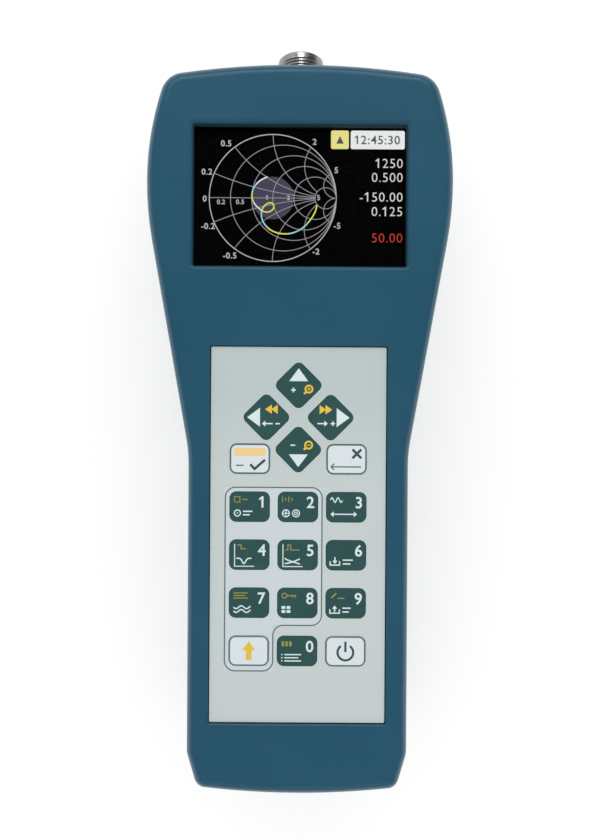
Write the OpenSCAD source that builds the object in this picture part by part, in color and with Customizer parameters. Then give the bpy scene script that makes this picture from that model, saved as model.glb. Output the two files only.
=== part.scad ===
// Handheld antenna analyzer, lying on its back.
// X runs across the face, Y towards the antenna jack, Z out of the face.
// The origin is under the middle of the overall length, on the plane it lies on.

/* [Case] */
// Width of the head at its widest line
case_w = 98.5; // [96:0.5:102]
// Length of the case without the jack
case_l = 233.5; // [230:0.5:236]
// Depth from the back to the face
case_d = 50; // [48:0.5:54]
// Width of the grip
grip_w = 70.7; // [68:0.1:72]
// Height of the parting line above the back
seam_z = 24; // [22:0.5:26]
// Wall thickness
wall = 2.6; // [2.2:0.1:3]
// Rounding of the face's edge
face_edge = 4.5; // [3:0.1:5]
// Rounding of the back's edge
back_edge = 5; // [3:0.5:6]
// How much narrower the back is than the parting line, on each side
draft = 0.8; // [0.3:0.1:1.2]
// Depth of the parting groove
groove = 0.4; // [0.2:0.1:0.6]
// How far the back of the grip is scooped in
grip_lift = 8; // [6:0.5:9]

/* [Outline] */
// Distance from the top to the widest line
widest_from_top = 37.3; // [35:0.1:39]
// Radius of the arched top end
top_r = 263; // [240:1:300]
// Radius of the head's corners
head_corner_r = 8; // [6:0.1:9]
// Radius of the head's side above the widest line
shoulder_r = 96; // [90:1:104]
// Radius of the head's side below the widest line
flank_r = 110; // [100:1:120]
// Angle at which the head narrows to the grip
taper = 10.2; // [9:0.1:11]
// Radius of the hollow curve into the grip
waist_r = 46; // [40:1:50]
// Distance from the top to the kink above the bottom corners
kink_from_top = 220.6; // [218:0.1:221]
// Radius of that kink
kink_r = 9; // [8:0.5:12]
// Angle of the sides below the kink
heel_taper = 16.5; // [14:0.5:18]
// Radius of the bottom corners
heel_corner_r = 3.9; // [3.5:0.1:5]
// Radius of the arched bottom end
bottom_r = 265; // [240:1:300]

/* [Display] */
// Width of the window opening
window_w = 67.6; // [66:0.1:68]
// Height of the window opening
window_h = 44.6; // [43:0.1:45]
// Distance from the top to the window's middle
window_from_top = 42.8; // [41:0.1:44]
// Bevel round the window opening
window_bevel = 1; // [0.3:0.1:1.2]
// Thickness of the clear pane
pane_t = 1.2; // [1:0.1:1.4]
// Thickness of the LCD panel
lcd_t = 2; // [1.6:0.1:2.4]

/* [Keypad] */
// Width of the overlay film
film_w = 55.5; // [54:0.1:56]
// Height of the overlay film
film_h = 118.9; // [118:0.1:120]
// Thickness of the overlay film
film_t = 0.6; // [0.4:0.1:0.8]
// How far the film lies below the face
film_sunk = 0.8; // [0.5:0.1:1]
// Bevel round the keypad's recess
film_bevel = 0.3; // [0.1:0.05:0.4]
// Gap round the film
film_gap = 0.3; // [0.2:0.05:0.4]
// Distance from the top to the keypad's middle
keypad_from_top = 150.3; // [149:0.1:151]
// Distance between columns of keys
pitch_x = 15.3; // [15:0.1:15.4]
// Distance between rows of keys
pitch_y = 15.2; // [15:0.1:15.3]
// Size of an oblong key
key_size = [12.5, 9.35]; // [9:0.05:13]
// Side of a diamond key
diamond_side = 11; // [10:0.1:11.2]
// How far a diamond key is from the middle of the four
diamond_reach = 10.18; // [10:0.01:10.6]
// Height of the arrow cross above the top oblong row
cross_above_row = 13.15; // [13:0.05:14]
// Distance from the film's top to the top oblong row
row_from_film_top = 35.45; // [35:0.05:36]
// Clearance round a key in the film
key_gap = 0.15; // [0.1:0.01:0.2]
// How far a key stands proud of the film
key_proud = 0.15; // [0.05:0.05:0.3]
// How far a key goes down
key_travel = 0.4; // [0.3:0.05:0.5]

/* [Antenna jack] */
// Radius over the crests of the thread
thread_r = 7.94; // [7.9:0.01:8]
// How far the jack stands out of the case
jack_reach = 13; // [12:0.1:14]
// Radius of the bore that takes the plug's sleeve
jack_bore_r = 4.2; // [4.1:0.05:4.4]
// Radius of the centre contact
contact_r = 1.5; // [1.4:0.05:1.6]
// Height of the jack's axis above the back
jack_z = 24; // [22:0.5:26]

/* [Battery bay] */
// Radius of a cell
cell_r = 7.1; // [7:0.05:7.25]
// Length of a cell
cell_l = 50; // [49.5:0.1:50.5]
// Distance between the cells
cell_pitch = 15.4; // [15:0.1:15.6]
// Thickness of the battery cover
cover_t = 2.2; // [2:0.1:2.6]

/* [Hidden] */
$fn = 48;
eps = 0.1;

top_y = (case_l + jack_reach) / 2 - jack_reach;
bottom_y = top_y - case_l;
tip_y = top_y + jack_reach;
face_z = case_d;
ceiling_z = face_z - wall;
opening_r = 0.5;
film_r = 0.4;

window_y = top_y - window_from_top;
keypad_y = top_y - keypad_from_top;
row_y = keypad_y + film_h / 2 - row_from_film_top;
cross_y = row_y + cross_above_row;

// Keypad layers, from the face down
film_z = face_z - film_sunk - film_t;
board_t = 1.6;
backing_t = 3.2;
key_board_z = film_z - backing_t - board_t;
backing_gap = 0.2;
film_lip = 1.95;
collar_wall = 2.5;
backing_w = film_w - 2 * film_lip;
backing_h = film_h - 2 * film_lip;
dome_h = 0.8;
dome_r = 3;
flange_rim = 0.25;
flange_gap = 0.25;
dome_gap = 0.1;
flange_z = film_z - backing_t + dome_h + key_travel + dome_gap;
flange_slack = 0.1;

// Display layers, from the face down
pane_margin = 2.7;
gasket_t = 0.6;
pane_z = ceiling_z - pane_t;
lcd_z = pane_z - gasket_t - lcd_t;
lcd_frame_t = 1.6;
lcd_frame_z = lcd_z - lcd_frame_t;

// Main board in the head
jack_block = 16;
main_w = 68;
main_l = 66;
main_top_y = top_y - 9.75;
main_bottom_y = main_top_y - main_l;
main_z = jack_z - jack_block / 2 - board_t;
can_size = [44, 30, 8];
can_skin = 0.5;
can_from_top = 16;
sounder_r = 6;
sounder_h = 5.5;
sounder_spot = [24, 11];

// Key board, with a tail that carries the USB socket
key_board_w = 59;
key_board_rim = 7;
tail_w = 30;
tail_l = 20;
tail_from_bottom = 6;

// Flat cables
cable_t = 0.3;
display_cable_w = 18;
display_cable_in = 6;
display_cable_out = 5;
key_cable_w = 14;
key_cable_x = -20;
key_cable_in = 6;
key_cable_out = 20;
cable_foot = 6;

// Scoop in the back of the grip
heel_end_y = bottom_y + 11;
scoop_start_y = heel_end_y + 11;
scoop_stop_y = scoop_start_y + 70;
scoop_end_y = scoop_stop_y + 27;

// Inside of the jack, from its mouth
insulator_depth = 22;
insulator_l = 12;
contact_l = 30;
contact_room = 1;

// Battery bay
bay_l = cell_l + 7;
bay_w = 3 * cell_pitch + 2;
bay_y = scoop_start_y + 10.2 + bay_l / 2;
cover_w = bay_w + 3.2;
cover_l = bay_l + 9;
cover_y = bay_y - 2.6;
cover_gap = 0.15;
bay_wall = 1.6;
contact_t = 0.5;
contact_margin = 4.4;
cell_z = grip_lift + cover_t + 0.6 + cell_r;
bay_top_z = cell_z + cell_r + 0.5;
cover_screw_y = cover_y - cover_l / 2 + 3.4;

// Screws
screw_r = 1.25;
pilot_r = 1.3;
head_r = 2.8;
head_t = 2.2;
sink_r = 3.2;
boss_r = 4.3;
sink_z = 12;
case_screw_l = 20;
cover_screw_l = 8;
cover_head_t = 1.1;
case_screw_spots = [
    [39.2, top_y - 12.5], [35, top_y - 81.5], [22, bottom_y + 10.5]
];
board_screw_r = 1;
board_post_r = 2.6;
board_screw_l = 6;
board_screw_in = 3.5;
main_screw_spots = [
    for (y = [main_top_y - board_screw_in, main_bottom_y + board_screw_in])
        [main_w / 2 - board_screw_in, y]
];
key_screw_in = 3.2;
key_screw_spots = [
    for (s = [-1, 1]) [20, keypad_y + s * (film_h / 2 + key_board_rim - key_screw_in)]
];

// Parts that stand on the boards
usb_w = 12;
usb_h = 10.9;
usb_l = 16;
usb_mouth = [8.5, 7.8];
usb_mouth_l = 10;
usb_y = bottom_y + 0.5;
usb_z = key_board_z - usb_h;

DARK = "#2e5154";
PALE = "#d8e1e3";

// Every key: its node, its place, whether it is a diamond, and its colour
KEYS = [
    ["key_up", [0, cross_y + diamond_reach], true, DARK],
    ["key_left", [-diamond_reach, cross_y], true, DARK],
    ["key_right", [diamond_reach, cross_y], true, DARK],
    ["key_down", [0, cross_y - diamond_reach], true, DARK],
    ["key_ok", [-pitch_x, row_y], false, PALE],
    ["key_cancel", [pitch_x, row_y], false, PALE],
    for (n = [1:9])
        let (column = (n - 1) % 3 - 1, row = floor((n - 1) / 3) + 1)
            [str("key_", n), [column * pitch_x, row_y - row * pitch_y], false, DARK],
    ["key_0", [0, row_y - 4 * pitch_y], false, DARK],
    ["key_function", [-pitch_x, row_y - 4 * pitch_y], false, PALE],
    ["key_power", [pitch_x, row_y - 4 * pitch_y], false, PALE]
];

// ---- Outline of the case, from tangent arcs and lines ----

function polar(c, r, a) = [c[0] + r * cos(a), c[1] + r * sin(a)];
function arc(c, r, a, b, n, first = 0) = [for (i = [first:n]) polar(c, r, a + (b - a) * i / n)];
function between(p, q, n) = n < 2 ? [] : [for (i = [1:n - 1]) p + (q - p) * i / n];
function angle_to(p, q) = atan2(q[1] - p[1], q[0] - p[0]);

// The meeting point of two circles that lies to the upper right
function meet(c, r, d, s) =
    let (v = d - c, l = norm(v), a = (r * r - s * s + l * l) / (2 * l), h = sqrt(r * r - a * a))
    c + v * a / l + [-v[1], v[0]] * h / l;

// Where a line from p along unit vector u leaves the circle c, r
function leave(p, u, c, r) =
    let (q = p - c, b = q * u)
    p + u * (-b + sqrt(b * b - q * q + r * r));

// The right half of the outline, d inside the true edge, from the top to the bottom.
// Its straight stretches are cut into n pieces, so that they can follow the scoop.
function half_outline(d, n) =
    let (
        w = case_w / 2,
        g = grip_w / 2,
        wide_y = top_y - widest_from_top,
        top_c = [0, top_y - top_r],
        shoulder_c = [w - shoulder_r, wide_y],
        flank_c = [w - flank_r, wide_y],
        corner_r = max(head_corner_r - d, 0.6),
        corner_c = meet(shoulder_c, shoulder_r - d - corner_r, top_c, top_r - d - corner_r),
        corner_a = angle_to(top_c, corner_c),
        corner_b = angle_to(shoulder_c, corner_c),
        taper_p = polar(flank_c, flank_r, -taper),
        waist_x = g + waist_r * (1 - cos(taper)),
        waist_y = taper_p[1] - (taper_p[0] - waist_x) / tan(taper),
        waist_c = [g + waist_r, waist_y - waist_r * sin(taper)],
        kink = [g, top_y - kink_from_top],
        kink_c = kink + [-kink_r, kink_r * tan(heel_taper / 2)],
        bottom_c = [0, bottom_y + bottom_r],
        heel_r = max(heel_corner_r - d, 0.6),
        inward = [-cos(heel_taper), sin(heel_taper)],
        along = [-sin(heel_taper), -cos(heel_taper)],
        heel_c = leave(kink + inward * (d + heel_r), along, bottom_c, bottom_r - d - heel_r),
        heel_a = angle_to(bottom_c, heel_c),
        flank = arc(flank_c, flank_r - d, 0, -taper, 4, 1),
        waist = arc(waist_c, waist_r + d, 180 - taper, 180, 3),
        bend = arc(kink_c, max(kink_r - d, 0.6), 0, -heel_taper, 3),
        heel = arc(heel_c, heel_r, -heel_taper, heel_a, 6)
    )
    concat(
        arc(top_c, top_r - d, 90, corner_a, 6),
        arc(corner_c, corner_r, corner_a, corner_b, 8, 1),
        arc(shoulder_c, shoulder_r - d, corner_b, 0, 7, 1),
        flank,
        between(flank[3], waist[0], n),
        waist,
        between(waist[3], bend[0], n + floor(n / 2)),
        bend,
        between(bend[3], heel[0], n > 1 ? 3 : 1),
        heel,
        arc(bottom_c, bottom_r - d, heel_a, -90, 6, 1)
    );

function smooth(t) = let (u = min(1, max(0, t))) u * u * (3 - 2 * u);

// How far the back is raised at y
function lift(y) =
    grip_lift * smooth((y - heel_end_y) / (scoop_start_y - heel_end_y))
    * smooth((scoop_end_y - y) / (scoop_end_y - scoop_stop_y));

function rise(y, z, scooped) = scooped ? lift(y) * max(0, 1 - z / seam_z) : 0;

// One closed ring of the case at height z
function ring(z, d, n, scooped) =
    let (half = half_outline(d, n), last = len(half) - 1)
    concat(
        [for (p = half) [p[0], p[1], z + rise(p[1], z, scooped)]],
        [for (i = [last - 1:-1:1]) [-half[i][0], half[i][1], z + rise(half[i][1], z, scooped)]]
    );

// A flat cap in strips across the ring that starts at point s
function cap(s, n, up) =
    let (
        h = n / 2,
        strips = concat(
            [[s, s + 1, s + n - 1]],
            [for (i = [1:h - 2]) [s + i, s + i + 1, s + n - i - 1]],
            [for (i = [1:h - 2]) [s + i, s + n - i - 1, s + n - i]],
            [[s + h - 1, s + h, s + h + 1]]
        )
    )
    up ? strips : [for (f = strips) [f[2], f[1], f[0]]];

// A solid through rings at the given [height, inset] levels, lowest first
module case_solid(levels, n, scooped) {
    rings = [for (l = levels) ring(l[0], l[1], n, scooped)];
    m = len(rings[0]);
    top = len(levels) - 1;
    sides = [
        for (j = [0:top - 1], i = [0:m - 1], half = [0, 1])
            let (a = j * m + i, b = j * m + (i + 1) % m)
            half == 0 ? [a, b, b + m] : [a, b + m, a + m]
    ];
    polyhedron([for (r = rings) each r], concat(cap(0, m, false), sides, cap(top * m, m, true)), 4);
}

edge_steps = [for (a = [0:18:90]) a];
front_levels = concat(
    [[seam_z, groove], [seam_z + groove, 0]],
    [for (a = edge_steps) [face_z - face_edge * (1 - sin(a)), face_edge * (1 - cos(a))]]
);
rear_levels = concat(
    [for (a = edge_steps)
        [back_edge * (1 - sin(90 - a)), back_edge * (1 - cos(90 - a)) + draft * (1 - a / 450)]],
    [[seam_z - groove, 0], [seam_z, groove]]
);
cavity_edge = 2;
front_cavity = [
    [seam_z - 1, wall], [ceiling_z - cavity_edge, wall], [ceiling_z, wall + cavity_edge]
];
rear_cavity = [
    [wall, wall + draft + back_edge - 1], [back_edge + 1, wall + draft], [seam_z + 1, wall]
];

// ---- Helpers ----

module rounded(w, h, r) {
    offset(r = r) square([w - 2 * r, h - 2 * r], center = true);
}

module slab(z, t, w, h, r, y = 0) {
    translate([0, y, z]) linear_extrude(t) rounded(w, h, r);
}

module both_sides(spots) {
    for (p = spots, s = [-1, 1])
        translate([s * p[0], p[1], 0]) children();
}

module along_y(y, l, r, z = jack_z) {
    translate([0, y, z]) rotate([-90, 0, 0]) cylinder(r = r, h = l);
}

// The outline of a key, grown on every side
module key_outline(diamond, grow) {
    size = diamond ? [diamond_side, diamond_side] : key_size;
    r = diamond ? 1.8 : 2.05;
    rotate(diamond ? 45 : 0)
        rounded(size[0] + 2 * grow, size[1] + 2 * grow, r + grow, $fn = 32);
}

module key_windows(grow) {
    for (k = KEYS)
        translate(k[1]) key_outline(k[2], grow);
}

// ---- Case ----

module front_shell() {
    color("#295870") difference() {
        union() {
            difference() {
                case_solid(front_levels, 1, false);
                case_solid(front_cavity, 1, false);
            }
            keypad_collar();
            both_sides(case_screw_spots)
                translate([0, 0, seam_z]) cylinder(r = boss_r, h = ceiling_z - seam_z + 0.5);
            both_sides(key_screw_spots)
                translate([0, 0, key_board_z + board_t])
                    cylinder(r = board_post_r, h = ceiling_z - key_board_z - board_t + 0.5);
        }
        slab(ceiling_z - 1, wall + 2, window_w, window_h, opening_r, window_y);
        bevel_cut(window_w, window_h, window_bevel, window_y);
        slab(film_z, face_z, film_w + 2 * film_gap, film_h + 2 * film_gap, opening_r, keypad_y);
        bevel_cut(film_w + 2 * film_gap, film_h + 2 * film_gap, film_bevel, keypad_y);
        slab(key_board_z, face_z, backing_w + 2 * backing_gap, backing_h + 2 * backing_gap, 1, keypad_y);
        both_sides(case_screw_spots)
            translate([0, 0, seam_z - eps]) cylinder(r = pilot_r, h = case_screw_l - seam_z + sink_z + 2);
        both_sides(key_screw_spots)
            translate([0, 0, key_board_z]) cylinder(r = board_screw_r + 0.05, h = board_screw_l - 1);
        along_y(top_y - 9, 12, thread_r + 0.1);
        translate([-usb_w / 2 - 0.2, bottom_y - 1, usb_z - 0.2])
            cube([usb_w + 0.4, wall + 3, usb_h + 0.4]);
    }
}

// Takes the edge off an opening in the face, at 45 degrees
module bevel_cut(w, h, b, y) {
    skin = eps / 10;
    in = 2 * eps;
    out = 2 * (b + eps);
    hull() {
        slab(face_z - b - eps, skin, w - in, h - in, opening_r - eps, y);
        slab(face_z + eps - skin, skin, w + out, h + out, opening_r + b + eps, y);
    }
}

// The frame under the face that the key board is screwed against
module keypad_collar() {
    z = key_board_z + board_t;
    slab(z, ceiling_z - z + 0.5, backing_w + 2 * collar_wall, backing_h + 2 * collar_wall, 2, keypad_y);
}

module rear_shell() {
    color("#274f62") difference() {
        union() {
            difference() {
                case_solid(rear_levels, 12, true);
                case_solid(rear_cavity, 12, true);
            }
            both_sides(case_screw_spots)
                translate([0, 0, wall]) cylinder(r = boss_r, h = seam_z - wall);
            both_sides(main_screw_spots)
                translate([0, 0, wall - 0.5]) cylinder(r = board_post_r, h = main_z - wall + 0.5);
            bay_block();
        }
        both_sides(case_screw_spots) {
            translate([0, 0, -eps]) cylinder(r = sink_r, h = sink_z + eps);
            translate([0, 0, wall]) cylinder(r = screw_r + 0.15, h = seam_z);
        }
        both_sides(main_screw_spots)
            translate([0, 0, main_z - board_screw_l]) cylinder(r = board_screw_r + 0.05, h = seam_z);
        translate([-bay_w / 2, bay_y - bay_l / 2, 0]) cube([bay_w, bay_l, bay_top_z]);
        slab(0, grip_lift + cover_t, cover_w + 2 * cover_gap, cover_l + 2 * cover_gap, 2.5, cover_y);
        translate([0, cover_screw_y, grip_lift]) cylinder(r = pilot_r, h = cover_screw_l + 3);
        along_y(top_y - 9, 12, thread_r + 0.1);
    }
}

// The walls of the battery bay, with a lip for the cover
module bay_block() {
    l = cover_l + 4;
    w = cover_w + 4;
    translate([-w / 2, cover_y - l / 2, grip_lift + 0.8])
        cube([w, l, bay_top_z + bay_wall - grip_lift - 0.8]);
}

// ---- Display ----

module display_window() {
    color("#20282c", 0.4)
        slab(pane_z, pane_t, window_w + 2 * pane_margin, window_h + 2 * pane_margin, 1, window_y);
}

module display_gasket() {
    color("#1a1a1a") difference() {
        slab(pane_z - gasket_t, gasket_t, window_w + 4.4, window_h + 4.4, 1, window_y);
        slab(pane_z - 1, 2, window_w + 0.6, window_h + 0.6, 0.5, window_y);
    }
}

module lcd_panel() {
    color("#0a0a0a") slab(lcd_z, lcd_t, window_w + 4.4, window_h + 4.4, 0.4, window_y);
}

module lcd_frame() {
    color("#a9adb0") slab(lcd_frame_z, lcd_frame_t, window_w + 5.2, window_h + 5.2, 1, window_y);
}

// A flat cable: out from under the upper board, down, and back onto the main board
module flat_cable(x, w, from_y, down_y, to_y, from_z) {
    to_z = main_z + board_t;
    translate([x - w / 2, 0, 0]) {
        translate([0, down_y, from_z - cable_t]) cube([w, from_y - down_y, cable_t]);
        translate([0, down_y, to_z]) cube([w, cable_t, from_z - to_z]);
        translate([0, down_y, to_z]) cube([w, to_y - down_y, cable_t]);
    }
}

module display_ribbon() {
    y = window_y - window_h / 2;
    down_y = y - display_cable_out;
    color("#b5762a")
        flat_cable(0, display_cable_w, y + display_cable_in, down_y, down_y + cable_foot, lcd_frame_z);
}

// ---- Boards ----

module main_board() {
    color("#1d5a34") difference() {
        translate([-main_w / 2, main_bottom_y, main_z])
            cube([main_w, main_top_y - main_bottom_y, board_t]);
        both_sides(main_screw_spots)
            translate([0, 0, main_z - 1]) cylinder(r = board_screw_r + 0.2, h = board_t + 2);
    }
}

module rf_shield() {
    inner = can_size - 2 * [can_skin, can_skin, 0];
    color("#b9bcbe")
        translate([-can_size[0] / 2, main_top_y - can_from_top - can_size[1], main_z + board_t])
            difference() {
                cube(can_size);
                translate([can_skin, can_skin, -can_skin]) cube(inner);
            }
}

module sounder() {
    hole_r = 1.2;
    hole_l = 1.5;
    color("#222222")
        translate([sounder_spot[0], main_bottom_y + sounder_spot[1], main_z + board_t]) difference() {
            cylinder(r = sounder_r, h = sounder_h);
            translate([0, 0, sounder_h - hole_l]) cylinder(r = hole_r, h = hole_l + 1);
        }
}

module key_board() {
    color("#1d5a34") difference() {
        union() {
            slab(key_board_z, board_t, key_board_w, film_h + 2 * key_board_rim, 1.5, keypad_y);
            slab(key_board_z, board_t, tail_w, tail_l, 1, bottom_y + tail_from_bottom + tail_l / 2);
        }
        both_sides(key_screw_spots)
            translate([0, 0, key_board_z - 1]) cylinder(r = board_screw_r + 0.2, h = board_t + 2);
        both_sides([case_screw_spots[2]])
            translate([0, 0, key_board_z - 1]) cylinder(r = boss_r + 0.5, h = board_t + 2);
    }
}

module key_ribbon() {
    down_y = main_bottom_y - key_cable_out;
    color("#b5762a")
        flat_cable(
            key_cable_x, key_cable_w, down_y + key_cable_in, down_y,
            main_bottom_y + cable_foot, key_board_z
        );
}

// ---- Keypad ----

module keypad_overlay() {
    color("#c4cece") translate([0, 0, film_z]) linear_extrude(film_t) difference() {
        translate([0, keypad_y]) rounded(film_w, film_h, film_r);
        key_windows(key_gap);
    }
}

module keypad_backing() {
    z = film_z - backing_t;
    color("#8f9694") translate([0, 0, z]) linear_extrude(backing_t) difference() {
        translate([0, keypad_y]) rounded(backing_w, backing_h, 0.8);
        key_windows(flange_rim + flange_gap);
    }
}

// Sheet-metal domes, each an arc turned about its own axis
module snap_domes() {
    ball_r = (dome_r * dome_r + dome_h * dome_h) / (2 * dome_h);
    rim_a = acos(dome_r / ball_r);
    crown = arc([0, dome_h - ball_r], ball_r, rim_a, 90, 4);
    color("#c8c8c8") for (k = KEYS)
        translate([k[1][0], k[1][1], film_z - backing_t])
            rotate_extrude() polygon(concat([[0, 0]], crown));
}

// One key: a cap that stands through the film, with a rim that keeps it in
module key_cap(k) {
    rim_t = film_z - flange_slack - flange_z;
    color(k[3]) translate([k[1][0], k[1][1], flange_z]) {
        linear_extrude(rim_t) key_outline(k[2], flange_rim);
        linear_extrude(film_z + film_t + key_proud - flange_z) key_outline(k[2], 0);
    }
}

// ---- Antenna jack ----

module jack_body() {
    flange_t = 2.5;
    flange = 21;
    flange_y = top_y - wall - draft - 0.3 - flange_t;
    neck_r = thread_r - 0.6;
    thread_y = top_y + 1;
    block_l = 10;
    chamfer = 0.5;
    color("#a8aaab") difference() {
        union() {
            along_y(flange_y, thread_y - flange_y + eps, neck_r);
            along_y(thread_y, tip_y - chamfer - thread_y, thread_r);
            translate([0, tip_y - chamfer, jack_z]) rotate([-90, 0, 0])
                cylinder(r1 = thread_r, r2 = thread_r - chamfer, h = chamfer);
            translate([-flange / 2, flange_y, jack_z - flange / 2]) cube([flange, flange_t, flange]);
            translate([-jack_block / 2, flange_y - block_l, main_z + board_t])
                cube([jack_block, block_l + 1, jack_block]);
        }
        along_y(tip_y - insulator_depth, insulator_depth + 1, jack_bore_r);
        along_y(flange_y - block_l - 1, block_l + 1 + jack_reach, contact_r + contact_room);
    }
}

module jack_insulator() {
    play = 0.02;
    color("#f0efe9") difference() {
        along_y(tip_y - insulator_depth, insulator_l, jack_bore_r - play);
        along_y(tip_y - contact_l, contact_l, contact_r + play);
    }
}

module jack_contact() {
    recess = 2;
    pin_r = 0.82;
    pin_l = 7;
    color("#d2a63c") difference() {
        along_y(tip_y - contact_l, contact_l - recess, contact_r);
        along_y(tip_y - recess - pin_l, pin_l + 1, pin_r);
    }
}

// ---- USB inlet ----

module usb_socket() {
    w = usb_mouth[0];
    h = usb_mouth[1];
    bevel = 1.6;
    color("#b4b7ba") translate([-usb_w / 2, usb_y, usb_z]) difference() {
        cube([usb_w, usb_l, usb_h]);
        translate([(usb_w - w) / 2, usb_mouth_l, (usb_h - h) / 2]) rotate([90, 0, 0])
            linear_extrude(usb_mouth_l + 1)
                polygon([[0, 0], [w, 0], [w, h - bevel], [w - bevel, h], [bevel, h], [0, h - bevel]]);
    }
}

module usb_tongue() {
    tongue = [5.6, usb_mouth_l - 1, 3.2];
    color("#f2f2f2") translate([-tongue[0] / 2, usb_y + 1, usb_z + (usb_h - tongue[2]) / 2]) cube(tongue);
}

// ---- Battery bay ----

module battery_cells() {
    nub = 1;
    color("#3b3f42") for (i = [-1:1])
        translate([i * cell_pitch, bay_y, cell_z]) rotate([i == 0 ? 90 : -90, 0, 0]) {
            translate([0, 0, -cell_l / 2]) cylinder(r = cell_r, h = cell_l - nub);
            translate([0, 0, cell_l / 2 - nub]) cylinder(r = 2.7, h = nub);
        }
}

module battery_contacts() {
    side = cell_pitch - contact_margin;
    color("#c9cbcc") for (i = [-1:1], s = [-1, 1])
        translate([i * cell_pitch, bay_y + s * (bay_l - contact_t) / 2, cell_z])
            cube([side, contact_t, side], center = true);
}

// Each spring is a short coil under the flat end of its cell
module battery_springs() {
    turns = 3;
    coil_r = 3.2;
    wire_r = 0.4;
    gap = (bay_l - cell_l) / 2 - contact_t;
    color("#c9cbcc") for (i = [-1:1]) {
        side = i == 0 ? 1 : -1;
        for (t = [0:turns - 1])
            translate([
                i * cell_pitch,
                bay_y + side * (cell_l / 2 + wire_r + (gap - 2 * wire_r) * t / (turns - 1)), cell_z
            ])
                rotate([90, 0, 0]) rotate_extrude() translate([coil_r, 0]) circle(wire_r);
    }
}

module battery_cover() {
    rib_t = 0.6;
    color("#274f62") difference() {
        union() {
            slab(grip_lift, cover_t, cover_w, cover_l, 2.35, cover_y);
            for (i = [-2:2])
                translate([-12, cover_y + cover_l / 2 - 14 + i * 3 - 0.6, grip_lift - rib_t])
                    cube([24, 1.2, rib_t + eps]);
        }
        translate([0, cover_screw_y, grip_lift - 1]) cylinder(r = screw_r + 0.15, h = cover_t + 2);
        translate([0, cover_screw_y, grip_lift - 1])
            cylinder(r = head_r + 0.2, h = 1 + cover_head_t + eps);
    }
}

// ---- Fasteners ----

// A screw with its head down, whose head is seated on z = 0
module screw(l, r, big_r, t, recess) {
    difference() {
        union() {
            translate([0, 0, -t]) cylinder(r = big_r, h = t);
            cylinder(r = r, h = l);
        }
        for (a = [0, 90])
            rotate(a) translate([-recess / 2, -recess / 10, -t - 1]) cube([recess, recess / 5, 1 + t * 0.6]);
    }
}

module case_screws() {
    color("#3a3d40") both_sides(case_screw_spots)
        translate([0, 0, sink_z]) screw(case_screw_l, screw_r, head_r, head_t, 3);
}

module cover_screws() {
    color("#3a3d40") translate([0, cover_screw_y, grip_lift + cover_head_t + eps])
        screw(cover_screw_l, screw_r, head_r, cover_head_t, 3);
}

module board_screws() {
    color("#9da0a2") {
        both_sides(main_screw_spots) translate([0, 0, main_z + board_t]) mirror([0, 0, 1])
            screw(board_screw_l, board_screw_r, 2, 1.2, 2);
        both_sides(key_screw_spots) translate([0, 0, key_board_z])
            screw(board_screw_l - 1.5, board_screw_r, 2, 1.2, 2);
    }
}

front_shell();
rear_shell();
display_window();
display_gasket();
lcd_panel();
lcd_frame();
display_ribbon();
main_board();
rf_shield();
jack_body();
jack_insulator();
jack_contact();
keypad_overlay();
keypad_backing();
key_board();
snap_domes();
key_ribbon();
usb_socket();
usb_tongue();
sounder();
battery_cells();
battery_contacts();
battery_springs();
battery_cover();
cover_screws();
case_screws();
board_screws();
for (k = KEYS)
    key_cap(k);
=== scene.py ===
import math

import bmesh
import bpy
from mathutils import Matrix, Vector


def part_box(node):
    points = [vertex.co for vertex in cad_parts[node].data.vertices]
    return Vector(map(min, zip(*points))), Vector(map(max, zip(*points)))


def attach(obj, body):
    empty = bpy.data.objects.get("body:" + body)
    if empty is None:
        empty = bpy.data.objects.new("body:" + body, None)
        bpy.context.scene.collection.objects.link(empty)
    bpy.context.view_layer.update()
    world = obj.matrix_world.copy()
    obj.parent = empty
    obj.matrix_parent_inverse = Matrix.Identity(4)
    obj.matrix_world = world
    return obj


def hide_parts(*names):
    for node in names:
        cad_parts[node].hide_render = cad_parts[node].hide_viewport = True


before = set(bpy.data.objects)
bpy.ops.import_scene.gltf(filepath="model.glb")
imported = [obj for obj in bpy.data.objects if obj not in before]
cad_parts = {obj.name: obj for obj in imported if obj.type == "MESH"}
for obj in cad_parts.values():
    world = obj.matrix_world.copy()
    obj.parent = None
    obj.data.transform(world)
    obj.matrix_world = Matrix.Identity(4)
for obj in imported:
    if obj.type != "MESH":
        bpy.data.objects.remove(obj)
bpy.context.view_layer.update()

scene = bpy.context.scene
scene.view_settings.view_transform = "Standard"

# ---- Camera ----
# The analyzer lies on its back and is seen from straight above, close enough for the grip
# to look a little smaller than the face. The jack end leans slightly to the right.
focal_px = 634.1
photo_height_px = 840
eye = (0.00048, -0.0037, 0.25)
lean = 0.364
camera_data = bpy.data.cameras.new("camera")
camera_data.lens = camera_data.sensor_width * focal_px / photo_height_px
camera_data.clip_start = 0.01
camera = bpy.data.objects.new("camera", camera_data)
camera.location = eye
camera.rotation_euler = (0, 0, math.radians(lean))
scene.collection.objects.link(camera)
scene.camera = camera

# ---- Floor and light ----
# A pale table in a white studio, with two long softboxes low beyond the ends and a small one
# higher up. The room is dimmer below the table's level than above it, and the table blocks
# none of that light, so the back isn't black.
floor_half = 3
floor_z = -0.0003
paper_tone = 0.5
paper_glow = 0.56
room_below, room_above = 0.4, 0.88
horizon = 0.03
ceiling_from, ceiling_dim = 0.25, 0.08


def wire(tree, source, target):
    """Links a socket, or sets a plain value."""
    if isinstance(source, bpy.types.NodeSocket):
        tree.links.new(source, target)
    else:
        target.default_value = source


def calc(tree, operation, a, b=0.0, c=0.0):
    """Arithmetic on sockets or plain values."""
    node = tree.nodes.new("ShaderNodeMath")
    node.operation = operation
    for value, socket in zip((a, b, c), node.inputs):
        wire(tree, value, socket)
    return node.outputs[0]


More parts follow.
